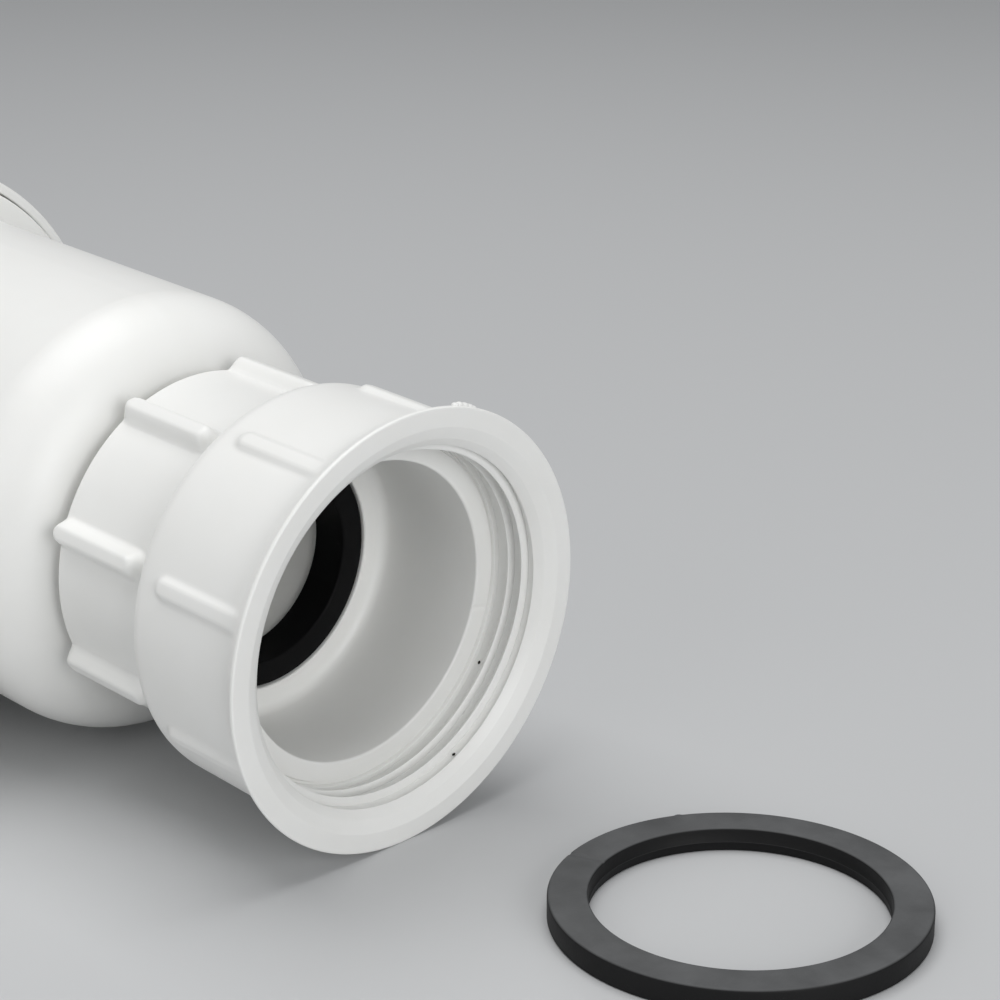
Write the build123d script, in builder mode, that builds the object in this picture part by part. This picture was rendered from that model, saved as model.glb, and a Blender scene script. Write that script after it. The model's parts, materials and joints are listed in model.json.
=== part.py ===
from build123d import *
from math import asin, atan, atan2, cos, hypot, sin
import os

# Bottle trap for a sink, lying on its side as it comes to rest on a table.
# The water seal between the dip tube and the cup keeps drain smells out of the room.
# Millimetres. The origin is the centre of the inlet thread's outer end, +Z is up,
# and the inlet mouth looks along +X, a little nose-down.
# A profile point is (radius, depth), and depth counts from the mouth towards the cup.

os.makedirs("parts", exist_ok=True)

# Pipe threads: plain walls stand for the threads
inlet_thread_r = 22.42      # 1 1/2 inch female thread, radius of its crests
inlet_root_r = 23.9         # radius of its roots, where its lead-in cone starts
neck_socket_r = 21.0        # 1 1/4 inch female thread, root radius
neck_r = 19.45              # 1 1/4 inch male thread, root radius
cup_thread_play = 1.6       # radial room between the roots of the cup's two threads

# Roundings of the moulded edges
rim_edge = 0.5              # every edge that can touch the table
soft_edge = 0.6             # outer edges of collars and ends
fine_edge = 0.3             # inner edges
root_round = 0.8            # inner corners between walls
washer_edge = 0.3           # edges of the rubber rings

# Inlet adaptor
rim_r = 30.0                # outer lip of the mouth
rim_len = 1.3
mouth_r = 26.1              # where the flat rim face ends inside
mouth_bevel = 1.0           # depth of the bevel from the rim face to the thread's roots
lead_in = 2.2               # depth where the thread's full wall starts
ledge_depth = 8.5           # flat ring where the inlet washer seats
flare_len = 3.4             # lip blends into the collar over this length
flare_round = 4.0
collar_r = 27.7
collar_draft = 0.3          # collar is this much slimmer at its back
collar_len = 23.4
step_round = 2.4
bore_r = 20.5
bore_round = 1.6
web_depth = 26.8            # inner ledge in front of the neck washer
web_t = 2.0
web_hole_r = 17.0
rear_collar_r = 23.8
adaptor_len = 42.5
socket_lead = 1.0           # bevel at the mouth of the neck's and the nut's socket

# Grip ribs
rib_round = 1.2
rib_count = 8
rib_start = 16.5            # degrees from the top to the first rib
front_rib_height = 0.7
front_rib_width = 2.8
front_rib_margin = 5.0      # plain length left at the back of the front collar
rear_rib_height = 2.1
rear_rib_width = 3.2
rear_rib_gap = 2.6          # plain length left behind the front collar
rear_rib_margin = 0.2       # plain length left at the back of the rear collar
rib_bevel = 0.4             # bevel of a rib's end, as a share of its height or half width
rib_set = 0.15              # ribs stop this far below a rim that they run into

# Neck washer and dip tube
neck_washer_t = 4.0
neck_washer_hole_r = 13.2
neck_washer_gap = 0.4       # radial room inside the socket
nose_gap = 0.3              # radial room of the washer's nose in the web
nose_set = 0.2              # the nose stops this far short of the web's face
dip_flange_t = 2.0
dip_flange_r = 19.2
dip_bore_r = 14.0
dip_wall = 1.8
dip_gap = 0.4               # radial room in the neck
dip_above_floor = 13.0      # water passes under the tube's end

# Body
wall = 2.5
neck_len = 9.8
body_r = 31.7
shoulder_round = 10.5
flange_depth = 112.3        # front face of the collar that the cup screws up to
flange_t = 3.0
cup_thread_len = 10.7

# Cup
cup_rim_step = 1.4          # cup's rim stops this far behind the flange's face
cup_rim_r = 37.6
cup_rim_len = 3.5
cup_rim_wall = 1.5
cup_rim_gap = 0.4           # radial room round the flange
cup_rim_lip = 0.7           # rim stands out this far from the skirt
skirt_wall = 2.0
skirt_len = 18.8
shoulder_len = 2.0
bowl_step = 3.9             # bowl is this much slimmer than the skirt
bowl_top_round = 1.5
bowl_taper = 2.0            # and loses this much radius down to its bottom
bowl_round = 9.0
cup_wall = 2.3
cup_len = 52.3
cup_rib_count = 16
cup_rib_width = 3.2

# Seal between the body's end and the cup's inner ledge
cup_seal_t = 2.5
cup_seal_width = 3.5
cup_seal_gap = 0.3

# Side outlet: distances count from the trap's axis along the outlet
outlet_depth = 80.0
outlet_len = 58.0
outlet_bore_r = 16.4        # takes a 32 mm pipe, as the cone washer does
outlet_root_round = 3.0
seat_depth = 6.0            # cone at the outlet's mouth
seat_wall = 1.05            # what the cone leaves of the spigot's wall at its end
cone_len = 3.5
cone_gap = 0.3
cone_flange_r = 19.2
cone_flange_t = 2.0
slip_ring_t = 1.5
slip_ring_bore_r = 16.6
slip_ring_r = 19.8
nut_bore_r = 16.8
nut_web_t = 2.5
nut_len = 20.0
nut_wall = 3.0
nut_rim_lip = 1.6           # rim stands out this far from the nut's wall
nut_rim_len = 3.5
nut_rib_count = 8
nut_rib_width = 3.4

# Loose inlet washer: it lies on the table in front of the mouth
inlet_washer_gap = 0.05     # radial room in the inlet thread's roots
inlet_washer_width = 5.1
inlet_washer_t = 3.2
inlet_washer_x = 45.5
inlet_washer_y = 13.9

# Depths and radii that follow from the sizes above
web_back = web_depth + web_t
neck_top = web_back + neck_washer_t + dip_flange_t
shoulder_depth = neck_top + neck_len
thread_start = flange_depth + flange_t
body_end = thread_start + cup_thread_len
cup_rim_depth = flange_depth + cup_rim_step
cup_ledge = body_end + cup_seal_t
cup_end = cup_rim_depth + cup_len
skirt_end = cup_rim_depth + skirt_len
skirt_r = cup_rim_r - cup_rim_lip
cup_socket_r = skirt_r - skirt_wall
cup_male_r = cup_socket_r - cup_thread_play
flange_r = cup_rim_r - cup_rim_wall - cup_rim_gap
flange_round = min(root_round, 0.4 * (flange_r - body_r))
flange_edge = min(soft_edge, 0.4 * (flange_r - body_r))
bowl_r = skirt_r - bowl_step
bowl_end_r = bowl_r - bowl_taper
bowl_bore_r = cup_socket_r - cup_seal_gap - cup_seal_width
body_bore_r = body_r - wall
dip_r = dip_bore_r + dip_wall
neck_bore_r = dip_r + dip_gap
cone_flange_end = outlet_len + cone_flange_t
slip_ring_end = cone_flange_end + slip_ring_t
nut_end = slip_ring_end + nut_web_t
nut_r = neck_socket_r + nut_wall
nut_rim_r = nut_r + nut_rim_lip

# The shoulder's rounding keeps to the step from neck to body,
# and the one at the outlet's root to the body's straight part
shoulder_fillet = min(shoulder_round, 0.95 * (body_r - neck_r - root_round))
room_before = outlet_depth - shoulder_depth - shoulder_fillet - neck_r
room_behind = flange_depth - flange_round - outlet_depth - neck_r
outlet_fillet = min(outlet_root_round, 0.9 * room_before, 0.9 * room_behind)

# The trap rests on the mouth's lip, the cup's rim and the outlet nut's rim,
# which all have the same edge rounding
tilt = atan((cup_rim_r - rim_r) / cup_rim_depth)
mouth_height = rim_edge - rim_edge * sin(tilt) + (rim_r - rim_edge) * cos(tilt)
outlet_height = mouth_height + outlet_depth * sin(tilt)
nut_reach = hypot(nut_end - rim_edge, nut_rim_r - rim_edge)
nut_angle = atan2(nut_rim_r - rim_edge, nut_end - rim_edge)
outlet_drop = asin((outlet_height - rim_edge) / nut_reach) - nut_angle

# Directions: inward runs from the mouth to the cup, upward is square to it
inward = Vector(-cos(tilt), 0, sin(tilt))
upward = Vector(sin(tilt), 0, cos(tilt))
near_side = Vector(0, -1, 0)
outlet_lean = asin(sin(outlet_drop) / cos(tilt))
outward = near_side * cos(outlet_lean) - upward * sin(outlet_lean)

mouth_centre = inward * -lead_in
outlet_root = mouth_centre + inward * outlet_depth
table_z = mouth_centre.Z - mouth_height

trap_section = Plane(mouth_centre, x_dir=upward, z_dir=near_side)
trap_axis = Axis(mouth_centre, inward)
outlet_section = Plane(outlet_root, x_dir=inward, z_dir=inward.cross(outward))
outlet_axis = Axis(outlet_root, outward)


def across_trap(depth):
    """Plane square to the trap's axis at a depth, facing the cup."""
    return Plane(mouth_centre + inward * depth, x_dir=upward, z_dir=inward)


def across_outlet(distance):
    """Plane square to the outlet's axis at a distance from the trap's axis."""
    return Plane(outlet_root + outward * distance, x_dir=inward, z_dir=outward)


def profile(*corners):
    """Closed outline of (radius, depth, rounding) corners, for the current sketch."""
    with BuildLine() as outline:
        FilletPolyline(
            [(r, d) for r, d, rounding in corners],
            radius=[rounding for r, d, rounding in corners],
            close=True,
        )
    make_face(outline.edges())


def ribs(radius, height, width, count, start=0.0):
    """Round-cornered rib sections, half sunk in a wall of the given radius."""
    with PolarLocations(radius, count, start_angle=start):
        RectangleRounded(2 * height, width, min(rib_round, 0.8 * height, 0.4 * width))


def end_bevel(height, width):
    """Bevel at a rib's end."""
    return rib_bevel * min(height, width / 2)


# Inlet adaptor: one moulding with two ribbed collars and two female threads
front_rib_len = collar_len - front_rib_margin - rim_len
rear_rib_len = adaptor_len - rear_rib_margin - collar_len - rear_rib_gap

with BuildPart() as inlet_adaptor:
    with BuildSketch(across_trap(rim_len)):
        ribs(collar_r - collar_draft / 2, front_rib_height, front_rib_width, rib_count, rib_start)
    extrude(amount=front_rib_len)
    ends = inlet_adaptor.faces(Select.LAST).sort_by(trap_axis)
    chamfer(ends[-rib_count:].edges(), end_bevel(front_rib_height, front_rib_width))
    with BuildSketch(across_trap(collar_len + rear_rib_gap)):
        ribs(rear_collar_r, rear_rib_height, rear_rib_width, rib_count, rib_start)
    extrude(amount=rear_rib_len)
    ends = inlet_adaptor.faces(Select.LAST).sort_by(trap_axis)
    ends = ends[:rib_count] + ends[-rib_count:]
    chamfer(ends.edges(), end_bevel(rear_rib_height, rear_rib_width))
    with BuildSketch(trap_section):
        profile(
            (mouth_r, 0, fine_edge),
            (rim_r, 0, rim_edge),
            (rim_r, rim_len, rim_edge),
            (collar_r, flare_len, flare_round),
            (collar_r - collar_draft, collar_len, step_round),
            (rear_collar_r, collar_len, soft_edge),
            (rear_collar_r, adaptor_len, soft_edge),
            (neck_socket_r + socket_lead, adaptor_len, 0),
            (neck_socket_r, adaptor_len - socket_lead, 0),
            (neck_socket_r, web_back, fine_edge),
            (web_hole_r, web_back, fine_edge),
            (web_hole_r, web_depth, fine_edge),
            (bore_r, web_depth, bore_round),
            (bore_r, ledge_depth, fine_edge),
            (inlet_thread_r, ledge_depth, 0),
            (inlet_thread_r, lead_in, 0),
            (inlet_root_r, mouth_bevel, 0),
        )
    revolve(axis=trap_axis)
inlet_adaptor.part.label = "inlet_adaptor"
export_step(inlet_adaptor.part, "parts/inlet_adaptor.step")

# Neck washer: black rubber ring between the adaptor's web and the dip tube's flange,
# with a nose that fills the web's hole
nose_r = web_hole_r - nose_gap
neck_washer_r = neck_socket_r - neck_washer_gap

with BuildPart() as neck_washer:
    with BuildSketch(trap_section):
        profile(
            (neck_washer_hole_r, web_depth + nose_set, washer_edge),
            (nose_r, web_depth + nose_set, washer_edge),
            (nose_r, web_back, 0),
            (neck_washer_r, web_back, washer_edge),
            (neck_washer_r, web_back + neck_washer_t, washer_edge),
            (neck_washer_hole_r, web_back + neck_washer_t, washer_edge),
        )
    revolve(axis=trap_axis)
neck_washer.part.label = "neck_washer"
export_step(neck_washer.part, "parts/neck_washer.step")

# Dip tube: flanged inner pipe that hangs from the neck and ends under water in the cup
dip_top = neck_top - dip_flange_t
dip_end = cup_end - cup_wall - dip_above_floor

with BuildPart() as dip_tube:
    with BuildSketch(trap_section):
        profile(
            (dip_bore_r, dip_top, fine_edge),
            (dip_flange_r, dip_top, fine_edge),
            (dip_flange_r, neck_top, fine_edge),
            (dip_r, neck_top, fine_edge),
            (dip_r, dip_end, fine_edge),
            (dip_bore_r, dip_end, fine_edge),
        )
    revolve(axis=trap_axis)
dip_tube.part.label = "dip_tube"
export_step(dip_tube.part, "parts/dip_tube.step")

# Trap body: blown-out cylinder with a rounded shoulder, threaded neck, side spigot
# and a flanged collar for the cup
seat_r = neck_r - seat_wall
seat_slope = (seat_r - outlet_bore_r) / seat_depth

with BuildPart() as trap_body:
    with BuildSketch(trap_section):
        profile(
            (0, neck_top, 0),
            (neck_r, neck_top, soft_edge),
            (neck_r, shoulder_depth, root_round),
            (body_r, shoulder_depth, shoulder_fillet),
            (body_r, flange_depth, flange_round),
            (flange_r, flange_depth, flange_edge),
            (flange_r, thread_start, fine_edge),
            (cup_male_r, thread_start, fine_edge),
            (cup_male_r, body_end, soft_edge),
            (0, body_end, 0),
        )
    revolve(axis=trap_axis)
    with BuildSketch(across_outlet(0)):
        Circle(neck_r)
    extrude(amount=outlet_len)
    chamfer(trap_body.edges().filter_by(GeomType.CIRCLE).sort_by(outlet_axis)[-1], rim_edge)
    fillet(trap_body.edges().filter_by(GeomType.BSPLINE), outlet_fillet)
    with BuildSketch(trap_section):
        profile(
            (0, neck_top, 0),
            (neck_bore_r, neck_top, 0),
            (neck_bore_r, shoulder_depth + wall, root_round),
            (body_bore_r, shoulder_depth + wall, shoulder_fillet - wall),
            (body_bore_r, body_end, 0),
            (0, body_end, 0),
        )
    revolve(axis=trap_axis, mode=Mode.SUBTRACT)
    with BuildSketch(across_outlet(0)):
        Circle(outlet_bore_r)
    extrude(amount=outlet_len, mode=Mode.SUBTRACT)
    with BuildSketch(outlet_section):
        profile(
            (0, outlet_len - seat_depth, 0),
            (outlet_bore_r, outlet_len - seat_depth, 0),
            (seat_r, outlet_len, 0),
            (0, outlet_len, 0),
        )
    revolve(axis=outlet_axis, mode=Mode.SUBTRACT)
trap_body.part.label = "trap_body"
export_step(trap_body.part, "parts/trap_body.step")

# Cup: screw-on bottom with a ribbed skirt, it catches dirt and is unscrewed for cleaning
cup_rib_height = cup_rim_lip - rib_set

with BuildPart() as cup:
    with BuildSketch(across_trap(cup_rim_depth + cup_rim_len / 2)):
        ribs(skirt_r, cup_rib_height, cup_rib_width, cup_rib_count, rib_start)
    extrude(amount=skirt_len - cup_rim_len)
    ends = cup.faces().sort_by(trap_axis)
    chamfer(ends[-cup_rib_count:].edges(), end_bevel(cup_rib_height, cup_rib_width))
    with BuildSketch(trap_section):
        profile(
            (flange_r + cup_rim_gap, cup_rim_depth, fine_edge),
            (cup_rim_r, cup_rim_depth, rim_edge),
            (cup_rim_r, cup_rim_depth + cup_rim_len, fine_edge),
            (skirt_r, cup_rim_depth + cup_rim_len, fine_edge),
            (skirt_r, skirt_end, root_round),
            (bowl_r, skirt_end + shoulder_len, bowl_top_round),
            (bowl_end_r, cup_end, bowl_round),
            (0, cup_end, 0),
            (0, cup_end - cup_wall, 0),
            (bowl_end_r - cup_wall, cup_end - cup_wall, bowl_round - cup_wall),
            (bowl_bore_r, cup_ledge, fine_edge),
            (cup_socket_r, cup_ledge, 0),
            (cup_socket_r, thread_start + cup_rim_gap, 0),
            (flange_r + cup_rim_gap, thread_start + cup_rim_gap, 0),
        )
    revolve(axis=trap_axis)
cup.part.label = "cup"
export_step(cup.part, "parts/cup.step")

# Cup seal: flat rubber ring on the cup's inner ledge
cup_seal_r = cup_socket_r - cup_seal_gap

with BuildPart() as cup_seal:
    with BuildSketch(trap_section):
        profile(
            (cup_seal_r - cup_seal_width, body_end, washer_edge),
            (cup_seal_r, body_end, washer_edge),
            (cup_seal_r, cup_ledge, washer_edge),
            (cup_seal_r - cup_seal_width, cup_ledge, washer_edge),
        )
    revolve(axis=trap_axis)
cup_seal.part.label = "cup_seal"
export_step(cup_seal.part, "parts/cup_seal.step")

# Outlet cone washer: its cone sits in the spigot's mouth, its flange on the spigot's end
with BuildPart() as outlet_cone_washer:
    with BuildSketch(outlet_section):
        profile(
            (outlet_bore_r, outlet_len - cone_len, 0),
            (seat_r - seat_slope * cone_len - cone_gap, outlet_len - cone_len, 0),
            (seat_r - cone_gap, outlet_len, 0),
            (cone_flange_r, outlet_len, 0),
            (cone_flange_r, cone_flange_end, washer_edge),
            (outlet_bore_r, cone_flange_end, washer_edge),
        )
    revolve(axis=outlet_axis)
outlet_cone_washer.part.label = "outlet_cone_washer"
export_step(outlet_cone_washer.part, "parts/outlet_cone_washer.step")

# Outlet slip ring: lets the nut turn without twisting the rubber
with BuildPart() as outlet_slip_ring:
    with BuildSketch(outlet_section):
        profile(
            (slip_ring_bore_r, cone_flange_end, washer_edge),
            (slip_ring_r, cone_flange_end, washer_edge),
            (slip_ring_r, slip_ring_end, washer_edge),
            (slip_ring_bore_r, slip_ring_end, washer_edge),
        )
    revolve(axis=outlet_axis)
outlet_slip_ring.part.label = "outlet_slip_ring"
export_step(outlet_slip_ring.part, "parts/outlet_slip_ring.step")

# Outlet nut: ribbed union nut with a hole for the waste pipe
nut_back = nut_end - nut_len
nut_rib_height = nut_rim_lip - rib_set

with BuildPart() as outlet_nut:
    with BuildSketch(across_outlet(nut_back + rear_rib_margin)):
        ribs(nut_r, nut_rib_height, nut_rib_width, nut_rib_count)
    extrude(amount=nut_len - nut_rim_len / 2 - rear_rib_margin)
    ends = outlet_nut.faces().sort_by(outlet_axis)
    chamfer(ends[:nut_rib_count].edges(), end_bevel(nut_rib_height, nut_rib_width))
    with BuildSketch(outlet_section):
        profile(
            (nut_bore_r, slip_ring_end, fine_edge),
            (nut_bore_r, nut_end, fine_edge),
            (nut_rim_r, nut_end, rim_edge),
            (nut_rim_r, nut_end - nut_rim_len, fine_edge),
            (nut_r, nut_end - nut_rim_len, fine_edge),
            (nut_r, nut_back, soft_edge),
            (neck_socket_r + socket_lead, nut_back, 0),
            (neck_socket_r, nut_back + socket_lead, 0),
            (neck_socket_r, slip_ring_end, fine_edge),
        )
    revolve(axis=outlet_axis)
outlet_nut.part.label = "outlet_nut"
export_step(outlet_nut.part, "parts/outlet_nut.step")

# Inlet washer: loose flat rubber ring for the inlet thread, lying on the table
inlet_washer_r = inlet_root_r - inlet_washer_gap

with BuildPart() as inlet_washer:
    with BuildSketch(Plane((inlet_washer_x, inlet_washer_y, table_z))):
        Circle(inlet_washer_r)
        Circle(inlet_washer_r - inlet_washer_width, mode=Mode.SUBTRACT)
    extrude(amount=inlet_washer_t)
    fillet(inlet_washer.edges().filter_by(GeomType.CIRCLE), washer_edge)
inlet_washer.part.label = "inlet_washer"
export_step(inlet_washer.part, "parts/inlet_washer.step")
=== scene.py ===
"""Studio picture of a white plastic bottle trap that lies on a pale table.

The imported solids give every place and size. This file dresses them: it turns the moulded
pieces again with soft ribs and rounded edges, raises their threads and gives each surface the
finish of its material.
"""
import json
import logging
import math
from collections.abc import Sequence
from dataclasses import dataclass
from enum import Enum

import bmesh
import bpy
from mathutils import Euler, Matrix, Vector


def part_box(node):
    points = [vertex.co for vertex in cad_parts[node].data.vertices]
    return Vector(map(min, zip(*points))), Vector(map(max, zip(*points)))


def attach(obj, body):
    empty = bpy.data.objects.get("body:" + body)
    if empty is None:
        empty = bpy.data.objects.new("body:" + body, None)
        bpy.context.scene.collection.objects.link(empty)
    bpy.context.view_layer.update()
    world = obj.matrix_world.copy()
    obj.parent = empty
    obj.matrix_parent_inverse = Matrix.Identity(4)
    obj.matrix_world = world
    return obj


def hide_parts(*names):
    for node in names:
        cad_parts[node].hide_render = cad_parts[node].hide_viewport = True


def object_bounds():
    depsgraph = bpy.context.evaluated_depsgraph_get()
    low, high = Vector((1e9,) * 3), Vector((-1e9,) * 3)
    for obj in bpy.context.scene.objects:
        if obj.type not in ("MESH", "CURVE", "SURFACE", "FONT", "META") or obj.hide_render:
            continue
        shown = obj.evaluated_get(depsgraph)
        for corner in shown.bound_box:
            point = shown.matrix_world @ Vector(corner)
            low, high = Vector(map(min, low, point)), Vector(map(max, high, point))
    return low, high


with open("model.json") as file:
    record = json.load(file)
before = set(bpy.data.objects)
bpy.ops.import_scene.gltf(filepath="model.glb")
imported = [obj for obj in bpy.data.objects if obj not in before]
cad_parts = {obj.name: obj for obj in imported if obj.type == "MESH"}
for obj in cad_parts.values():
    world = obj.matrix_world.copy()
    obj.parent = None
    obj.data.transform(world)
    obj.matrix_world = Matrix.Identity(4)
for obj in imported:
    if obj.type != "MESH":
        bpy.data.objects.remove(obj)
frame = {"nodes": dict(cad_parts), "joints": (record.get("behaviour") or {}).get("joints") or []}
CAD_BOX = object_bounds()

LOG = logging.getLogger("bottle_trap")
MM = 0.001
FULL_TURN = 360.0                # degrees
FINE_SEGMENTS = 512              # round a piece that the photo shows close up
PLAIN_SEGMENTS = 256
THREAD_SEGMENTS = 144            # round one turn of a thread
ARC_STEP = math.radians(15)      # along a rounded corner of an outline
SHARP_ANGLE = math.radians(40)
MERGE_DISTANCE = 1e-6            # metres
PIPE_PITCH = 2.309               # millimetres, 11 threads to the inch
CUP_PITCH = 3.0
NECK_THREAD_DEPTH = 36.2         # where the neck's ridge starts, from the mouth
CUP_THREAD_DEPTH = 117.3         # where the ridge that carries the cup starts
OUTLET_SET_BACK = 64.0           # from the trap's axis to the point of the nut's joint
MIX_A, MIX_B, MIX_RESULT = 6, 7, 2   # a Mix node's colour sockets, which go by index


class Body(Enum):
    """The bodies that pieces of this file ride on."""

    TRAP = "trap"
    NECK_SEAL = "neck_seal"
    ADAPTOR = "adaptor"
    CUP = "cup_bottom"
    OUTLET_NUT = "outlet_union"


class Slot(Enum):
    """The record's material slots, by name; no piece of this file is given one."""

    WHITE_PLASTIC = "white_plastic"
    BLACK_RUBBER = "black_rubber"
    GREY_RUBBER = "grey_rubber"


class ThreadSide(Enum):
    """Which wall a thread stands on, as the sign from its root to its crest."""

    MALE = 1
    FEMALE = -1


@dataclass(frozen=True)
class Corner:
    """A corner of a turned outline, in millimetres, with its rounding.

    steps divides the straight run from this corner to the next.
    """

    radius: float
    depth: float
    rounding: float = 0.0
    steps: int = 1


def smooth_step(low: float, high: float, value: float) -> float:
    """Eased rise from 0 at low to 1 at high."""
    t = min(1.0, max(0.0, (value - low) / (high - low)))
    return t * t * (3.0 - 2.0 * t)


def turn_about_axis(degrees: float) -> Matrix:
    """Rotation about the local Z axis."""
    return Matrix.Rotation(math.radians(degrees), 3, "Z")


def rounded_outline(corners: Sequence[Corner]) -> list[Vector]:
    """Rounds the corners of a closed outline.

    Args:
        corners: the outline's corners in order.

    Returns:
        Points (radius, depth) in millimetres, with arcs at the rounded corners.
    """
    stretches: list[list[Vector]] = []
    for index, corner in enumerate(corners):
        here = Vector((corner.radius, corner.depth))
        if corner.rounding == 0.0:
            stretches.append([here])
            continue
        before, after = corners[index - 1], corners[(index + 1) % len(corners)]
        back = (Vector((before.radius, before.depth)) - here).normalized()
        onward = (Vector((after.radius, after.depth)) - here).normalized()
        half = back.angle(onward) / 2.0
        centre = here + (back + onward).normalized() * corner.rounding / math.sin(half)
        start = here + back * corner.rounding / math.tan(half) - centre
        turn = math.copysign(math.pi - 2.0 * half, back.angle_signed(onward))
        count = max(2, math.ceil(abs(turn) / ARC_STEP))
        stretches.append(
            [centre + Matrix.Rotation(turn * step / count, 2) @ start for step in range(count + 1)]
        )
    points: list[Vector] = []
    for index, (corner, stretch) in enumerate(zip(corners, stretches)):
        points += stretch
        target = stretches[(index + 1) % len(corners)][0]
        points += [
            stretch[-1].lerp(target, step / corner.steps) for step in range(1, corner.steps)
        ]
    return points


def turned(corners: Sequence[Corner], segments: int) -> bmesh.types.BMesh:
    """Turns a closed outline about the local Z axis.

    Args:
        corners: the outline, where depth runs along Z.
        segments: faces round the piece.

    Returns:
        A closed mesh with its normals outwards, in metres.
    """
    bm = bmesh.new()
    verts = [bm.verts.new((p.x * MM, 0.0, p.y * MM)) for p in rounded_outline(corners)]
    edges = [bm.edges.new(pair) for pair in zip(verts, verts[1:] + verts[:1])]
    bmesh.ops.spin(
        bm, geom=verts + edges, cent=(0, 0, 0), axis=(0, 0, 1), dvec=(0, 0, 0),
        angle=math.tau, steps=segments, use_merge=True, use_duplicate=False,
    )
    bmesh.ops.remove_doubles(bm, verts=bm.verts, dist=MERGE_DISTANCE)
    bmesh.ops.recalc_face_normals(bm, faces=bm.faces)
    return bm


@dataclass(frozen=True)
class GripRibs:
    """Straight ribs along a round wall, in millimetres and degrees."""

    count: int
    start: float
    width: float
    wall_radius: float
    crest_radius: float
    depth_from: float
    depth_to: float
    edge: float
    margin: float = 0.5          # how far below wall_radius a vertex still belongs to the wall

    def share(self, angle: float, depth: float) -> float:
        """How far the rib has risen at a place on the wall.

        Args:
            angle: place round the axis, in radians.
            depth: depth in millimetres.

        Returns:
            0 on the bare wall to 1 on the crest.
        """
        spacing = math.tau / self.count
        offset = (angle - math.radians(self.start) + spacing / 2.0) % spacing - spacing / 2.0
        half = self.width / 2
        past = max(self.depth_from + half - depth, depth - self.depth_to + half, 0.0)
        away = math.hypot(offset * self.crest_radius, past)
        return 1.0 - smooth_step(half - self.edge, half + self.edge, away)

    def raise_on(self, bm: bmesh.types.BMesh) -> None:
        """Lifts the outer wall of a turned mesh to the ribs' crests.

        Args:
            bm: the turned mesh.
        """
        for vert in bm.verts:
            radius, depth = vert.co.xy.length / MM, vert.co.z / MM
            if radius < self.wall_radius - self.margin or radius >= self.crest_radius:
                continue
            lift = self.share(math.atan2(vert.co.y, vert.co.x), depth)
            grown = radius + lift * (self.crest_radius - radius)
            vert.co.xy = vert.co.xy * (grown / radius)


@dataclass(frozen=True)
class Ridge:
    """Section of a thread's ridge, in millimetres; the near flank faces the piece's start."""

    pitch: float
    height: float
    crest_width: float
    near_flank: float
    far_flank: float
    sink: float = 0.2            # how far its foot reaches into the wall
    shoulder: float = 0.85       # where the crest starts to round, as a share of the height
    shoulder_lean: float = 0.1   # how far out the shoulder stands, as a share of the flank
    crest_flat: float = 0.45     # flat of the crest, as a share of its width

    def outline(self) -> list[Vector]:
        """Corners of the section.

        Returns:
            Points (height above the root, distance along the axis from the crest).
        """
        half, shoulder = self.crest_width / 2, self.shoulder * self.height
        flat = self.crest_flat * half
        near_foot, far_foot = -half - self.near_flank, half + self.far_flank
        points = [
            (-self.sink, near_foot),
            (0.0, near_foot),
            (shoulder, -half - self.shoulder_lean * self.near_flank),
            (self.height, -flat),
            (self.height, flat),
            (shoulder, half + self.shoulder_lean * self.far_flank),
            (0.0, far_foot),
            (-self.sink, far_foot),
        ]
        return [Vector(point) for point in points]


MALE_PIPE = Ridge(PIPE_PITCH, height=1.2, crest_width=0.4, near_flank=0.55, far_flank=0.55)
FEMALE_PIPE = Ridge(PIPE_PITCH, height=1.1, crest_width=0.4, near_flank=0.5, far_flank=0.5)
MALE_CUP = Ridge(CUP_PITCH, height=1.2, crest_width=0.5, near_flank=0.65, far_flank=0.65)
FEMALE_CUP = Ridge(CUP_PITCH, height=1.1, crest_width=0.5, near_flank=0.6, far_flank=0.6)
INLET_RIDGE = Ridge(2.45, height=1.0, crest_width=0.35, near_flank=0.1, far_flank=0.9)


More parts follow.
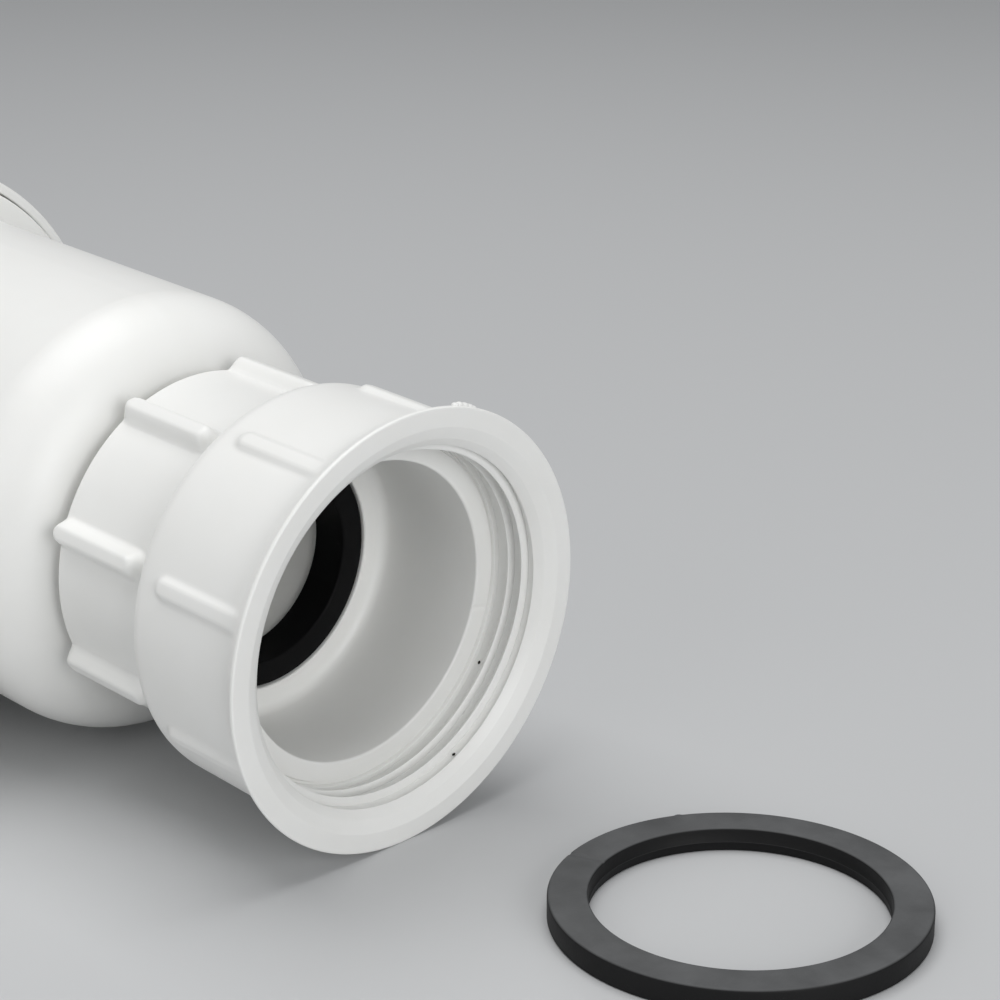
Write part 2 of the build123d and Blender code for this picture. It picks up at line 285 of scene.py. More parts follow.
@dataclass(frozen=True)
class Thread:
    """A right-hand thread as one helical ridge, in millimetres and degrees."""

    side: ThreadSide
    ridge: Ridge
    root_radius: float
    first_depth: float
    turns: float
    start: float = 0.0
    fade: float = 50.0           # over which each end runs out
    end_margin: float = 1.0      # past each end, where the ridge would be gone
    least_share: float = 0.001   # of the height, left at the ends so that no corners meet

    def mesh(self) -> bmesh.types.BMesh:
        """Sweeps the ridge along the helix and lets both ends run out.

        Returns:
            A closed mesh with its normals outwards, in metres.
        """
        bm = bmesh.new()
        sign = self.side.value
        verts = [
            bm.verts.new(((self.root_radius + sign * p.x) * MM, 0.0, p.y * MM))
            for p in self.ridge.outline()
        ]
        edges = [bm.edges.new(pair) for pair in zip(verts, verts[1:] + verts[:1])]
        steps = round(self.turns * THREAD_SEGMENTS)
        bmesh.ops.spin(
            bm, geom=verts + edges, cent=(0, 0, 0), axis=(0, 0, 1),
            dvec=(0, 0, self.ridge.pitch * MM / THREAD_SEGMENTS),
            angle=math.tau * steps / THREAD_SEGMENTS, steps=steps,
            use_merge=False, use_duplicate=False,
        )
        for vert in bm.verts:
            self.run_out(vert)
        bmesh.ops.holes_fill(bm, edges=[e for e in bm.edges if e.is_boundary], sides=0)
        bmesh.ops.recalc_face_normals(bm, faces=bm.faces)
        turn = turn_about_axis(self.start)
        bmesh.ops.rotate(bm, verts=bm.verts, cent=(0, 0, 0), matrix=turn)
        bmesh.ops.translate(bm, verts=bm.verts, vec=(0, 0, self.first_depth * MM))
        return bm

    def run_out(self, vert: bmesh.types.BMVert) -> None:
        """Lowers a vertex near either end of the ridge towards the wall.

        Args:
            vert: a vertex of the swept ridge, before it is turned and set in depth.
        """
        angle = math.degrees(math.atan2(vert.co.y, vert.co.x))
        along = vert.co.z / MM / self.ridge.pitch * FULL_TURN
        swept = angle + FULL_TURN * round((along - angle) / FULL_TURN)
        ends = min(swept, self.turns * FULL_TURN - swept)
        share = max(self.least_share, smooth_step(-self.end_margin, self.fade, ends))
        radius = vert.co.xy.length / MM
        floor = self.root_radius - self.side.value * self.ridge.sink
        vert.co.xy *= (floor + (radius - floor) * share) / radius


def linear(hex_colour: str) -> tuple[float, float, float, float]:
    """Turns an sRGB colour into linear light, by the sRGB standard's own curve.

    Args:
        hex_colour: six hex digits such as "F2F2F0".

    Returns:
        Linear RGBA.
    """
    channels = [int(hex_colour[i:i + 2], 16) / 255.0 for i in (0, 2, 4)]
    curve = [c / 12.92 if c <= 0.04045 else ((c + 0.055) / 1.055) ** 2.4 for c in channels]
    return (*curve, 1.0)


def per_metre(size_mm: float) -> float:
    """Pattern scale whose features are about size_mm wide on Object coordinates."""
    return 1.0 / (size_mm * MM)


def add_node(
    tree: bpy.types.NodeTree,
    kind: str,
    inputs: dict[str | int, object] | None = None,
    **settings: object,
) -> bpy.types.Node:
    """Adds a shader node.

    Args:
        tree: the node tree to add to.
        kind: the node's type name.
        inputs: values for its sockets, or output sockets to link to them.
        settings: attributes of the node.

    Returns:
        The new node.
    """
    new = tree.nodes.new(kind)
    for name, value in settings.items():
        setattr(new, name, value)
    for name, value in (inputs or {}).items():
        if isinstance(value, bpy.types.NodeSocket):
            tree.links.new(value, new.inputs[name])
        else:
            new.inputs[name].default_value = value
    return new


def blank_material(name: str) -> tuple[bpy.types.Material, bpy.types.Node]:
    """New node material with only its Principled shader and output.

    Args:
        name: the material's name.

    Returns:
        The material and its Principled node.
    """
    material = bpy.data.materials.new(name)
    material.use_nodes = True
    return material, material.node_tree.nodes["Principled BSDF"]


@dataclass(frozen=True)
class MouldedPlastic:
    """Injection-moulded polyolefin: waxy, a little translucent, with a fine satin skin.

    The eye sees a soft broad highlight, faint cloudiness in the colour and gentle sink marks.
    """

    name: str
    light: str
    shade: str
    roughness: tuple[float, float] = (0.33, 0.46)
    ior: float = 1.49
    skin_mm: float = 0.5         # mould texture; a real one is finer, this is as fine as shows
    skin_depth_mm: float = 0.004
    cloud_mm: float = 14.0
    sink_mm: float = 22.0
    sink_depth_mm: float = 0.12
    glow: float = 0.12           # share of the light that spreads inside
    glow_mm: float = 1.2         # how far it spreads
    glow_tint: tuple[float, float, float] = (1.0, 0.95, 0.9)

    def material(self) -> bpy.types.Material:
        """Builds the material.

        Returns:
            The node material.
        """
        material, shader = blank_material(self.name)
        tree = material.node_tree
        where = add_node(tree, "ShaderNodeTexCoord").outputs["Object"]
        clouds = add_node(
            tree, "ShaderNodeTexNoise",
            {"Vector": where, "Scale": per_metre(self.cloud_mm), "Detail": 3.0},
        )
        colour = add_node(
            tree, "ShaderNodeMix",
            {"Factor": clouds.outputs["Fac"], MIX_A: linear(self.light),
             MIX_B: linear(self.shade)},
            data_type="RGBA",
        )
        skin = add_node(
            tree, "ShaderNodeTexNoise",
            {"Vector": where, "Scale": per_metre(self.skin_mm), "Detail": 2.0},
        )
        sink = add_node(
            tree, "ShaderNodeTexNoise",
            {"Vector": where, "Scale": per_metre(self.sink_mm), "Detail": 0.0},
        )
        gloss = add_node(
            tree, "ShaderNodeMapRange",
            {"Value": clouds.outputs["Fac"], "To Min": self.roughness[0],
             "To Max": self.roughness[1]},
        )
        wavy = add_node(
            tree, "ShaderNodeBump",
            {"Height": sink.outputs["Fac"], "Distance": self.sink_depth_mm * MM,
             "Strength": 1.0},
        )
        grain = add_node(
            tree, "ShaderNodeBump",
            {"Height": skin.outputs["Fac"], "Distance": self.skin_depth_mm * MM,
             "Strength": 1.0, "Normal": wavy.outputs["Normal"]},
        )
        tree.links.new(colour.outputs[MIX_RESULT], shader.inputs["Base Color"])
        tree.links.new(gloss.outputs["Result"], shader.inputs["Roughness"])
        tree.links.new(grain.outputs["Normal"], shader.inputs["Normal"])
        shader.inputs["IOR"].default_value = self.ior
        shader.inputs["Subsurface Weight"].default_value = self.glow
        shader.inputs["Subsurface Radius"].default_value = self.glow_tint
        shader.inputs["Subsurface Scale"].default_value = self.glow_mm * MM
        return material


@dataclass(frozen=True)
class Rubber:
    """Vulcanised rubber: dark and matt, with a fine cut or moulded grain and a bloom of dust.

    Upper faces are paler and mottled: partly powder and talc that lie there, partly a painted
    sheen of the light from above.
    """

    name: str
    dark: str
    # colour of upper faces: dust, and painted sheen of the light from above
    dust_and_sheen_colour: str
    dust_and_sheen: float                  # most that the dust and the painted top sheen cover
    thin_dust: float = 0.65      # share of that in the thinnest patches
    roughness: tuple[float, float] = (0.5, 0.72)
    ior: float = 1.52
    specular: float = 0.25       # the rough skin hides most of the gloss
    mottle_mm: float = 7.0
    grain_mm: float = 0.35       # finer in reality, this is as fine as shows
    grain_depth_mm: float = 0.02

    def material(self) -> bpy.types.Material:
        """Builds the material.

        Returns:
            The node material.
        """
        material, shader = blank_material(self.name)
        tree = material.node_tree
        where = add_node(tree, "ShaderNodeTexCoord").outputs["Object"]
        mottle = add_node(
            tree, "ShaderNodeTexNoise",
            {"Vector": where, "Scale": per_metre(self.mottle_mm), "Detail": 4.0,
             "Roughness": 0.6},
        )
        faces = add_node(
            tree, "ShaderNodeSeparateXYZ",
            {"Vector": add_node(tree, "ShaderNodeNewGeometry").outputs["Normal"]},
        )
        # Faces that look up turn paler: painted sheen of the overhead light, with dust mottled
        # over it
        painted_top_sheen = add_node(
            tree, "ShaderNodeMapRange",
            {"Value": faces.outputs["Z"], "From Min": 0.5, "From Max": 1.0,
             "To Max": self.dust_and_sheen},
        )
        patches = add_node(
            tree, "ShaderNodeMapRange",
            {"Value": mottle.outputs["Fac"], "From Min": 0.3, "From Max": 0.7,
             "To Min": self.thin_dust, "To Max": 1.0},
        )
        dust_and_sheen_cover = add_node(
            tree, "ShaderNodeMath",
            {0: painted_top_sheen.outputs["Result"], 1: patches.outputs["Result"]}, operation="MULTIPLY",
        )
        colour = add_node(
            tree, "ShaderNodeMix",
            {"Factor": dust_and_sheen_cover.outputs["Value"], MIX_A: linear(self.dark),
             MIX_B: linear(self.dust_and_sheen_colour)},
            data_type="RGBA",
        )
        gloss = add_node(
            tree, "ShaderNodeMapRange",
            {"Value": mottle.outputs["Fac"], "To Min": self.roughness[0],
             "To Max": self.roughness[1]},
        )
        grain = add_node(
            tree, "ShaderNodeTexNoise",
            {"Vector": where, "Scale": per_metre(self.grain_mm), "Detail": 3.0},
        )
        bump = add_node(
            tree, "ShaderNodeBump",
            {"Height": grain.outputs["Fac"], "Distance": self.grain_depth_mm * MM,
             "Strength": 1.0},
        )
        tree.links.new(colour.outputs[MIX_RESULT], shader.inputs["Base Color"])
        tree.links.new(gloss.outputs["Result"], shader.inputs["Roughness"])
        tree.links.new(bump.outputs["Normal"], shader.inputs["Normal"])
        shader.inputs["IOR"].default_value = self.ior
        shader.inputs["Specular IOR Level"].default_value = self.specular
        return material


@dataclass(frozen=True)
class Finishes:
    """Every material of the trap, made once."""

    white: bpy.types.Material
    natural: bpy.types.Material
    black_rubber: bpy.types.Material
    grey_rubber: bpy.types.Material
    dirt: bpy.types.Material

    @classmethod
    def make(cls) -> "Finishes":
        """Builds the set.

        Returns:
            The finishes of all pieces.
        """
        white = MouldedPlastic("white_polypropylene_moulded", "F3F3F1", "EBEBE8")
        natural = MouldedPlastic("natural_polyethylene_moulded", "E4E4DC", "D8D8CE", glow_mm=2.0)
        # Each rubber's second colour lies on its upper faces: partly dust, partly painted sheen of
        # the light from above.
        black = Rubber("black_epdm_rubber_moulded", "040405", "0B0B0C", dust_and_sheen=0.3, specular=0.12)
        grey = Rubber("grey_black_sheet_rubber_cut", "0A0A0B", "626364", dust_and_sheen=0.9)
        dirt = Rubber("dark_moulding_fleck", "1A1712", "2A2620", dust_and_sheen=0.2)
        return cls(*(finish.material() for finish in (white, natural, black, grey, dirt)))


@dataclass(frozen=True)
class TurningAxis:
    """Where round pieces stand: local Z runs along the axis and local X is angle zero."""

    origin: Vector
    along: Vector
    zero: Vector

    @classmethod
    def of_joint(
        cls, name: str, reverse: bool, set_back_mm: float, hint: Vector
    ) -> "TurningAxis":
        """Takes the axis from a joint of the frame.

        Args:
            name: the joint's name.
            reverse: whether local Z runs against the joint's axis.
            set_back_mm: how far before the joint's point the depth count starts.
            hint: direction that angle zero leans to.

        Returns:
            The axis, with depth counted along local Z.
        """
        joint = next(j for j in frame["joints"] if j["name"] == name)
        along = Vector(joint["axis"]).normalized() * (-1.0 if reverse else 1.0)
        zero = (hint - along * hint.dot(along)).normalized()
        return cls(Vector(joint["pos_m"]) - along * set_back_mm * MM, along, zero)

    def place(self) -> Matrix:
        """Where the axis stands in the frame.

        Returns:
            Matrix from local coordinates to the frame's.
        """
        across = self.along.cross(self.zero)
        turn = Matrix((self.zero, across, self.along)).transposed()
        return Matrix.Translation(self.origin) @ turn.to_4x4()


def make_object(
    name: str,
    bm: bmesh.types.BMesh,
    place: Matrix,
    material: bpy.types.Material,
    body: Body,
) -> bpy.types.Object:
    """Puts a finished mesh in the scene, riding on its body.

    Args:
        name: the piece's name.
        bm: its mesh in local coordinates, which is freed.
        place: matrix into the frame.
        material: its finish.
        body: what it moves with.

    Returns:
        The new object, at the origin.
    """
    bm.transform(place)
    mesh = bpy.data.meshes.new(name)
    bm.to_mesh(mesh)
    bm.free()
    mesh.shade_smooth()
    mesh.set_sharp_from_angle(angle=SHARP_ANGLE)
    mesh.materials.append(material)
    piece = bpy.data.objects.new(name, mesh)
    bpy.context.scene.collection.objects.link(piece)
    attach(piece, body.value)
    LOG.info("%s: %d faces on %s", name, len(mesh.polygons), body.value)
    return piece


def dress_node(node: str, material: bpy.types.Material) -> None:
    """Gives a carried-over solid its finish.

    Args:
        node: the solid's name in the frame.
        material: its finish.
    """
    solid = frame["nodes"][node]
    solid.data.materials.clear()
    solid.data.materials.append(material)
    LOG.info("%s keeps its solid as %s", node, material.name)


@dataclass(frozen=True)
class WeldLine:
    """A fine radial line in a flat ring of a moulding, in millimetres and degrees."""

    angle: float
    depth: float
    radius_from: float
    radius_to: float
    cut: float
    half_angle: float = 0.5
    tolerance: float = 0.05      # how far off the ring's plane a vertex may lie

    def press_into(self, bm: bmesh.types.BMesh) -> None:
        """Sinks the line into the ring.

        Args:
            bm: the turned moulding.
        """
        for vert in bm.verts:
            on_ring = abs(vert.co.z / MM - self.depth) < self.tolerance
            if not (on_ring and self.radius_from < vert.co.xy.length / MM < self.radius_to):
                continue
            angle = math.degrees(math.atan2(vert.co.y, vert.co.x))
            if abs(angle - self.angle) < self.half_angle:
                vert.co.z += self.cut * MM


@dataclass(frozen=True)
class FlashNub:
    """A nub of the torn flash on the lip, in millimetres and degrees."""

    angle: float
    height: float
    half_width: float
    half_length: float = 0.5
    depth: float = 0.75
    sink: float = 0.05           # how far its middle lies inside the lip

    def add_to(self, bm: bmesh.types.BMesh, rim_radius: float) -> None:
        """Adds the nub to the flash.

        Args:
            bm: the flash's mesh.
            rim_radius: radius of the lip, in millimetres.
        """
        made = bmesh.ops.create_icosphere(bm, subdivisions=3, radius=1.0)["verts"]
        size = Vector((self.height, self.half_width, self.half_length)) * MM
        bmesh.ops.scale(bm, verts=made, vec=size)
        at = Vector((rim_radius - self.sink, 0.0, self.depth)) * MM
        bmesh.ops.translate(bm, verts=made, vec=at)
        turn = turn_about_axis(self.angle)
        bmesh.ops.rotate(bm, verts=made, cent=(0, 0, 0), matrix=turn)


@dataclass(frozen=True)
class Fleck:
    """A dark speck stuck to a round wall, in millimetres and degrees."""

    name: str
    angle: float
    depth: float
    radius: float = 0.22
    flattening: tuple[float, float, float] = (0.6, 1.2, 0.9)

    def mesh(self, wall_radius: float) -> bmesh.types.BMesh:
        """Makes the speck.

        Args:
            wall_radius: radius of the wall that it sticks to.

        Returns:
            A small flattened lump, in metres.
        """
        bm = bmesh.new()
        bmesh.ops.create_icosphere(bm, subdivisions=2, radius=self.radius * MM)
        bmesh.ops.scale(bm, verts=bm.verts, vec=self.flattening)
        at = Vector((wall_radius, 0.0, self.depth)) * MM
        bmesh.ops.translate(bm, verts=bm.verts, vec=at)
        turn = turn_about_axis(self.angle)
        bmesh.ops.rotate(bm, verts=bm.verts, cent=(0, 0, 0), matrix=turn)
        return bm


@dataclass
class InletAdaptor:
    """The stepped, ribbed adaptor with its threads, moulding marks and the washer inside."""

    axis: TurningAxis
    finishes: Finishes
    rim_radius: float = 30.0
    rim_length: float = 0.5
    flare_length: float = 3.4
    collar_radius: float = 27.7
    collar_draft: float = 0.3
    collar_length: float = 23.4
    rear_radius: float = 23.8
    length: float = 42.5
    neck_socket_radius: float = 21.0
    socket_chamfer: float = 1.0
    web_depth: float = 26.8
    web_thickness: float = 2.0
    web_hole_radius: float = 17.0
    bore_radius: float = 20.5
    ledge_depth: float = 8.5
    ledge_radius: float = 23.2
    groove_slope: float = 0.15       # width of each sloping side of the groove round the ledge
    groove_floor: float = 0.35
    groove_depth: float = 0.4
    groove_bank: float = 0.1         # how far its outer side rises above the ledge
    thread_root: float = 24.6
    thread_foot: float = 0.15        # how far above the ledge the thread's wall starts
    thread_draft: float = 0.25
    thread_mouth_depth: float = 2.25
    lead_in_radius: float = 24.4
    lead_in_depth: float = 1.9
    bevel_radius: float = 25.6
    bevel_depth: float = 0.85
    mouth_radius: float = 27.3
    rib_count: int = 8
    rib_start: float = 16.5
    front_rib_height: float = 0.55
    rear_rib_height: float = 2.1
    rear_rib_gap: float = 2.4        # between the front collar and the rear ribs
    washer_thickness: float = 4.0
    washer_hole_radius: float = 13.2
    washer_radius: float = 20.6
    nose_radius: float = 16.7
    nose_set: float = 0.2            # how far the washer's nose lies behind the web's face
    flash_nubs: tuple[FlashNub, ...] = (
        FlashNub(13.2, 0.36, 0.5),
        FlashNub(14.6, 0.5, 0.7),
        FlashNub(16.4, 0.46, 0.8),
        FlashNub(18.2, 0.36, 0.7),
        FlashNub(19.6, 0.24, 0.5),
    )
    flecks: tuple[Fleck, ...] = (Fleck("fleck_a", 121.8, 7.65), Fleck("fleck_b", 152.5, 2.5))

    def outline(self) -> list[Corner]:
        """Section of the moulding, from the mouth's inner edge outwards and round.

        Returns:
            The corners of the closed outline.
        """
        web_back = self.web_depth + self.web_thickness
        groove_foot = self.ledge_radius + self.groove_slope
        groove_end = groove_foot + self.groove_floor
        groove_bottom = self.ledge_depth + self.groove_depth
        bank_radius = groove_end + self.groove_slope
        return [
            # The lip.
            Corner(self.mouth_radius, 0.0, rounding=0.3, steps=8),
            Corner(self.rim_radius, 0.0, rounding=0.25),
            Corner(self.rim_radius, self.rim_length, rounding=0.2),
            # The two collars, divided for their ribs; the piece stays under 200,000 triangles.
            Corner(self.collar_radius, self.flare_length, rounding=4.0, steps=34),
            Corner(
                self.collar_radius - self.collar_draft, self.collar_length, rounding=2.4, steps=3
            ),
            Corner(self.rear_radius, self.collar_length, rounding=0.6, steps=37),
            Corner(self.rear_radius, self.length, rounding=0.6),
            # The socket for the body's neck.
            Corner(self.neck_socket_radius + self.socket_chamfer, self.length, rounding=0.2),
            Corner(self.neck_socket_radius, self.length - self.socket_chamfer),
            Corner(self.neck_socket_radius, web_back, rounding=0.3),
            # The web with its hole, and the bore before it.
            Corner(self.web_hole_radius, web_back, rounding=0.3),
            Corner(self.web_hole_radius, self.web_depth, rounding=0.3, steps=2),
            Corner(self.bore_radius, self.web_depth, rounding=1.6, steps=2),
            Corner(self.bore_radius, self.ledge_depth, rounding=0.35, steps=4),
            # The washer's ledge and the groove round it.
            Corner(self.ledge_radius, self.ledge_depth),
            Corner(groove_foot, groove_bottom),
            Corner(groove_end, groove_bottom),
            Corner(bank_radius, self.ledge_depth - self.groove_bank, rounding=0.05),
            # The thread's wall, its lead-in and the mouth's bevel.
            Corner(self.thread_root, self.ledge_depth - self.thread_foot, rounding=0.1),
            Corner(self.thread_root + self.thread_draft, self.thread_mouth_depth, rounding=0.1),
            Corner(self.lead_in_radius, self.lead_in_depth, rounding=0.15),
            Corner(self.bevel_radius, self.bevel_depth, rounding=0.15),
        ]

    def ribs(self) -> list[GripRibs]:
        """Low ribs on the front collar and tall rounded ones on the rear collar.

        Returns:
            The two sets of ribs.
        """
        front = GripRibs(
            self.rib_count, self.rib_start, width=2.6,
            wall_radius=self.collar_radius - self.collar_draft,
            crest_radius=self.collar_radius + self.front_rib_height,
            depth_from=0.5, depth_to=18.4, edge=0.55,
        )
        rear = GripRibs(
            self.rib_count, self.rib_start, width=3.2,
            wall_radius=self.rear_radius,
            crest_radius=self.rear_radius + self.rear_rib_height,
            depth_from=self.collar_length + self.rear_rib_gap, depth_to=self.length, edge=0.85,
        )
        return [front, rear]

    def threads(self) -> dict[str, Thread]:
        """The coarse inlet thread and the neck's thread in the rear collar.

        Returns:
            The threads by the names of their pieces.
        """
        return {
            "inlet_thread": Thread(
                ThreadSide.FEMALE, INLET_RIDGE, self.thread_root,
                first_depth=2.5, turns=2.05, start=330.0,
            ),
            "neck_socket_thread": Thread(
                ThreadSide.FEMALE, FEMALE_PIPE, self.neck_socket_radius,
                first_depth=NECK_THREAD_DEPTH + PIPE_PITCH / 2, turns=1.7,
            ),
        }

    def weld_lines(self) -> list[WeldLine]:
        """The fine lines on the ledge and on the face of the lip.

        Returns:
            The lines.
        """
        ledge = WeldLine(103.6, self.ledge_depth, radius_from=20.4, radius_to=23.3, cut=0.16)
        lip = WeldLine(80.0, 0.0, radius_from=27.0, radius_to=29.0, cut=0.05)
        return [ledge, lip]

    def build(self) -> None:
        """Makes the moulding, its threads, its marks and the washer."""
        white, place = self.finishes.white, self.axis.place()
        slot, body = Slot.WHITE_PLASTIC, Body.ADAPTOR
        bm = turned(self.outline(), FINE_SEGMENTS)
        for ribs in self.ribs():
            ribs.raise_on(bm)
        for line in self.weld_lines():
            line.press_into(bm)
        piece = make_object("inlet_adaptor_moulding", bm, place, white, body)
        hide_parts("inlet_adaptor")
        for name, thread in self.threads().items():
            make_object(name, thread.mesh(), place, white, body)
        flash = bmesh.new()
        for nub in self.flash_nubs:
            nub.add_to(flash, self.rim_radius)
        make_object("rim_flash", flash, place, white, body)
        for fleck in self.flecks:
            lump = fleck.mesh(self.thread_root)
            make_object(fleck.name, lump, place, self.finishes.dirt, body)
        self.build_washer(place)

    def build_washer(self, place: Matrix) -> None:
        """Turns the black washer behind the web, with the nose that fills the web's hole.

        Args:
            place: matrix into the frame.
        """
        nose = self.web_depth + self.nose_set
        front = self.web_depth + self.web_thickness
        back = front + self.washer_thickness
        corners = [
            Corner(self.washer_hole_radius, nose, rounding=0.4),
            Corner(self.nose_radius, nose, rounding=0.25),
            Corner(self.nose_radius, front),
            Corner(self.washer_radius, front, rounding=0.3),
            Corner(self.washer_radius, back, rounding=0.3),
            Corner(self.washer_hole_radius, back, rounding=0.3),
        ]
        washer = make_object(
            "neck_washer_ring", turned(corners, PLAIN_SEGMENTS), place,
            self.finishes.black_rubber, Body.NECK_SEAL,
        )
        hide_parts("neck_washer")


@dataclass
class LooseWasher:
    """The flat inlet washer on the table, with its seam, a nub and a parting line inside."""

    finishes: Finishes
    radius: float = 23.85
    width: float = 5.1
    thickness: float = 3.2
    edge_band: float = 0.4           # how far from an edge its vertices still count to it
    seam_angle: float = 194.5
    seam_depth: float = 0.14
    seam_spread: tuple[float, float] = (0.3, 1.3)    # degrees to each side: full, and gone
    nub_angle: float = 149.0
    nub_height: float = 0.25
    nub_spread: tuple[float, float] = (0.2, 1.6)
    parting_depth: float = 1.9       # below the top
    parting_height: float = 0.12
    parting_half: float = 0.15

    def build(self) -> None:
        """Turns the ring where the frame has it."""
        low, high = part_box("inlet_washer")
        centre = (low + high) / 2.0
        inner = self.radius - self.width
        parting = self.thickness - self.parting_depth
        corners = [
            Corner(inner, 0.0, rounding=0.3),
            Corner(self.radius, 0.0, rounding=0.3),
            Corner(self.radius, self.thickness, rounding=0.35, steps=8),
            Corner(inner, self.thickness, rounding=0.3),
            Corner(inner, parting + self.parting_half),
            Corner(inner - self.parting_height, parting),
            Corner(inner, parting - self.parting_half),
        ]
        bm = turned(corners, FINE_SEGMENTS)
        self.mark(bm)
        washer = make_object(
            "inlet_washer_ring", bm, Matrix.Translation((centre.x, centre.y, low.z)),
            self.finishes.grey_rubber, Body.TRAP,
        )
        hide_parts("inlet_washer")

    def mark(self, bm: bmesh.types.BMesh) -> None:
        """Presses in the seam across the top and raises the nub on the outer edge.

        Args:
            bm: the turned ring.
        """
        for vert in bm.verts:
            angle = math.degrees(math.atan2(vert.co.y, vert.co.x)) % FULL_TURN
            radius = vert.co.xy.length
            if vert.co.z / MM > self.thickness - self.edge_band:
                seam = 1.0 - smooth_step(*self.seam_spread, abs(angle - self.seam_angle))
                vert.co.z -= self.seam_depth * MM * seam
            nub = 1.0 - smooth_step(*self.nub_spread, abs(angle - self.nub_angle))
            outer = radius / MM > self.radius - self.edge_band
            if outer and vert.co.z / MM > self.thickness / 2:
                vert.co.xy *= 1.0 + self.nub_height * MM * nub / radius


@dataclass
class TrapBody:
    """The moulded body with its dip tube and male threads."""

    axis: TurningAxis
    outlet_axis: TurningAxis
    finishes: Finishes
    neck_radius: float = 19.45           # of the neck and of the outlet's spigot
    collar_radius: float = 33.3
    spigot_thread_depth: float = 44.0

    def build(self) -> None:
        """Dresses the solids and raises the three male threads."""
        white = self.finishes.white
        dress_node("trap_body", white)
        dress_node("dip_tube", white)
        neck = Thread(
            ThreadSide.MALE, MALE_PIPE, self.neck_radius, NECK_THREAD_DEPTH, turns=2.9
        )
        collar = Thread(
            ThreadSide.MALE, MALE_CUP, self.collar_radius, CUP_THREAD_DEPTH, turns=2.4
        )
        spigot = Thread(
            ThreadSide.MALE, MALE_PIPE, self.neck_radius, self.spigot_thread_depth, turns=5.4
        )
        for name, thread, axis in (
            ("neck_thread", neck, self.axis),
            ("cup_collar_thread", collar, self.axis),
            ("outlet_spigot_thread", spigot, self.outlet_axis),
        ):
            make_object(name, thread.mesh(), axis.place(), white, Body.TRAP)


@dataclass
class Cup:
    """The screw-off cup with its ribbed skirt, thread and seal."""

    axis: TurningAxis
    finishes: Finishes
    socket_radius: float = 34.9

    def build(self) -> None:
        """Dresses the cup and its seal and raises the cup's thread."""
        white = self.finishes.white
        dress_node("cup", white)
        dress_node("cup_seal", self.finishes.black_rubber)
        thread = Thread(
            ThreadSide.FEMALE, FEMALE_CUP, self.socket_radius,
            first_depth=CUP_THREAD_DEPTH + CUP_PITCH / 2, turns=1.9,
        )
        make_object(
            "cup_thread", thread.mesh(), self.axis.place(), white, Body.CUP
        )


@dataclass
class OutletUnion:
    """The union nut on the side outlet with its slip ring and cone washer."""

    axis: TurningAxis
    finishes: Finishes
    socket_radius: float = 21.0
    thread_depth: float = 47.46          # half a pitch off the spigot's ridge

    def build(self) -> None:
        """Raises the nut's thread and dresses the nut and its seals."""
        white = self.finishes.white
        thread = Thread(
            ThreadSide.FEMALE, FEMALE_PIPE, self.socket_radius, self.thread_depth, turns=4.3
        )
        make_object(
            "nut_thread", thread.mesh(), self.axis.place(), white,
            Body.OUTLET_NUT,
        )
        dress_node("outlet_nut", white)
        dress_node("outlet_slip_ring", self.finishes.natural)
        dress_node("outlet_cone_washer", self.finishes.black_rubber)


@dataclass(frozen=True)
class Softbox:
    """A square studio light, in metres and watts."""

    name: str
    place: tuple[float, float, float]
    size: float
    power: float

    def build(self, target: Vector) -> None:
        """Hangs the light and aims it.

        Args:
            target: the point that it looks at.
        """
        lamp = bpy.data.lights.new(self.name, "AREA")
        lamp.shape = "SQUARE"
        lamp.size = self.size
        lamp.energy = self.power
        holder = bpy.data.objects.new(self.name, lamp)
        holder.location = self.place
        aim = (target - Vector(self.place)).to_track_quat("-Z", "Y")
        holder.rotation_euler = aim.to_euler()
        bpy.context.scene.collection.objects.link(holder)


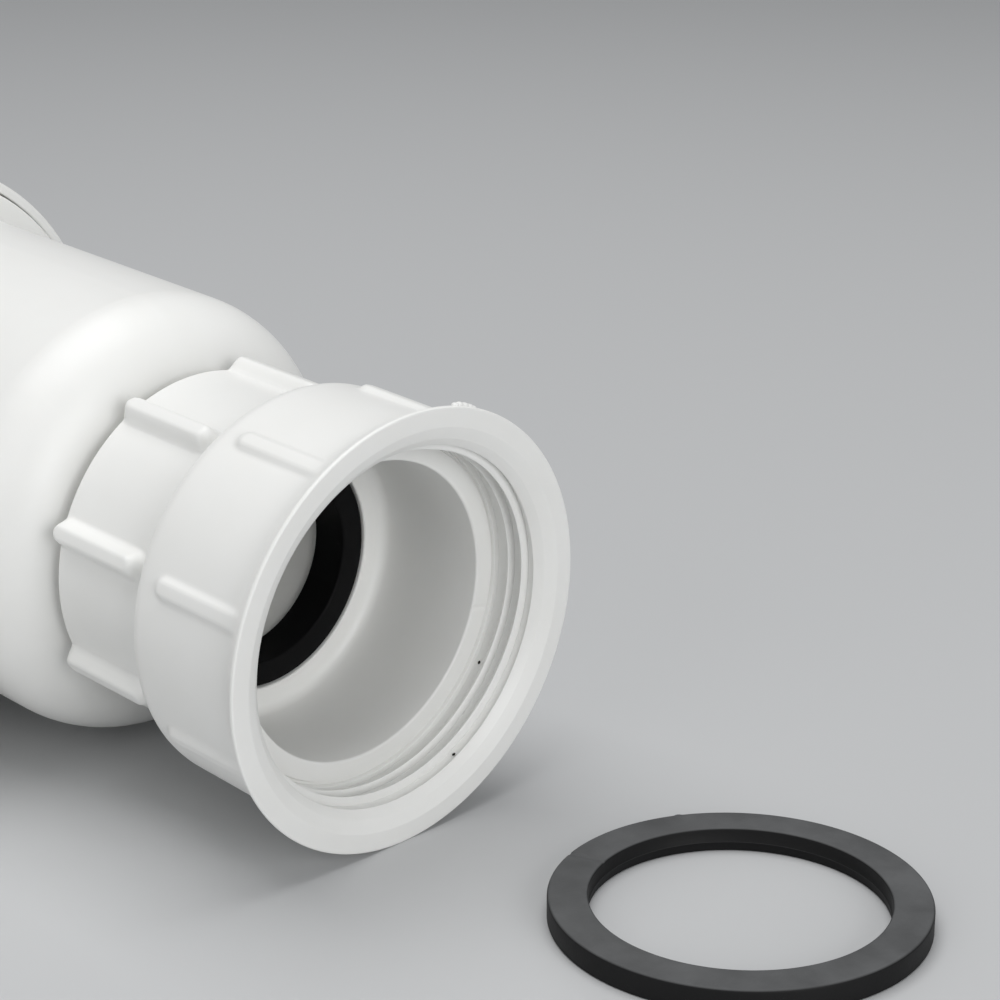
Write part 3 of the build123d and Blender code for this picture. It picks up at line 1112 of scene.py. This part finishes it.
@dataclass
class Studio:
    """Pale table, soft lights and the photo's camera."""

    mouth: Vector
    camera_from_mouth: tuple[float, float, float] = (222.1, -214.6, 121.5)   # millimetres
    camera_azimuth: float = 43.9         # degrees; 0 looks along +Y
    camera_pitch: float = 18.54          # degrees downwards
    lens_mm: float = 93.6
    sensor_mm: float = 36.0
    clip_start: float = 0.01             # metres
    table_half: float = 3.0              # metres
    table_colour: str = "C4C5C6"
    table_roughness: float = 0.55
    world_colour: str = "E8EAEC"
    world_strength: float = 0.32
    lights: tuple[Softbox, ...] = (
        Softbox("overhead_softbox", (-0.1, 0.0, 0.95), size=0.9, power=6.7),
        Softbox("front_softbox", (1.1, -0.25, 0.35), size=0.7, power=5.7),
        Softbox("side_fill", (0.15, -1.1, 0.35), size=0.7, power=2.0),
    )

    def build(self) -> None:
        """Sets up the table, the lights, the world and the camera."""
        scene = bpy.context.scene
        scene.view_settings.view_transform = "Standard"
        self.build_table()
        for light in self.lights:
            light.build(self.mouth)
        world = bpy.data.worlds.new("studio")
        world.use_nodes = True
        back = world.node_tree.nodes["Background"]
        back.inputs["Color"].default_value = linear(self.world_colour)
        back.inputs["Strength"].default_value = self.world_strength
        scene.world = world
        self.build_camera()

    def build_table(self) -> None:
        """Lays the table under the lowest point of the trap."""
        bm = bmesh.new()
        bmesh.ops.create_grid(bm, x_segments=1, y_segments=1, size=self.table_half)
        bmesh.ops.translate(bm, verts=bm.verts, vec=(0, 0, CAD_BOX[0].z))
        mesh = bpy.data.meshes.new("table")
        bm.to_mesh(mesh)
        bm.free()
        material, shader = blank_material("pale_matt_laminate")
        shader.inputs["Base Color"].default_value = linear(self.table_colour)
        shader.inputs["Roughness"].default_value = self.table_roughness
        mesh.materials.append(material)
        table = bpy.data.objects.new("table", mesh)
        bpy.context.scene.collection.objects.link(table)

    def build_camera(self) -> None:
        """Stands the camera where the photo was taken from."""
        data = bpy.data.cameras.new("photo_camera")
        data.lens = self.lens_mm
        data.sensor_width = self.sensor_mm
        data.clip_start = self.clip_start
        camera = bpy.data.objects.new("photo_camera", data)
        camera.location = self.mouth + Vector(self.camera_from_mouth) * MM
        tip = math.radians(90.0 - self.camera_pitch)
        camera.rotation_euler = Euler((tip, 0.0, math.radians(self.camera_azimuth)))
        bpy.context.scene.collection.objects.link(camera)
        bpy.context.scene.camera = camera


def main() -> None:
    logging.basicConfig(level=logging.INFO, format="%(name)s %(message)s")
    up = Vector((0.0, 0.0, 1.0))
    trap_axis = TurningAxis.of_joint("adaptor_turn", reverse=True, set_back_mm=0.0, hint=up)
    outlet_axis = TurningAxis.of_joint(
        "outlet_nut_turn", reverse=False, set_back_mm=OUTLET_SET_BACK, hint=trap_axis.along
    )
    finishes = Finishes.make()
    pieces = (
        InletAdaptor(trap_axis, finishes),
        LooseWasher(finishes),
        TrapBody(trap_axis, outlet_axis, finishes),
        Cup(trap_axis, finishes),
        OutletUnion(outlet_axis, finishes),
        Studio(trap_axis.origin),
    )
    for piece in pieces:
        piece.build()


if __name__ == "__main__":
    main()
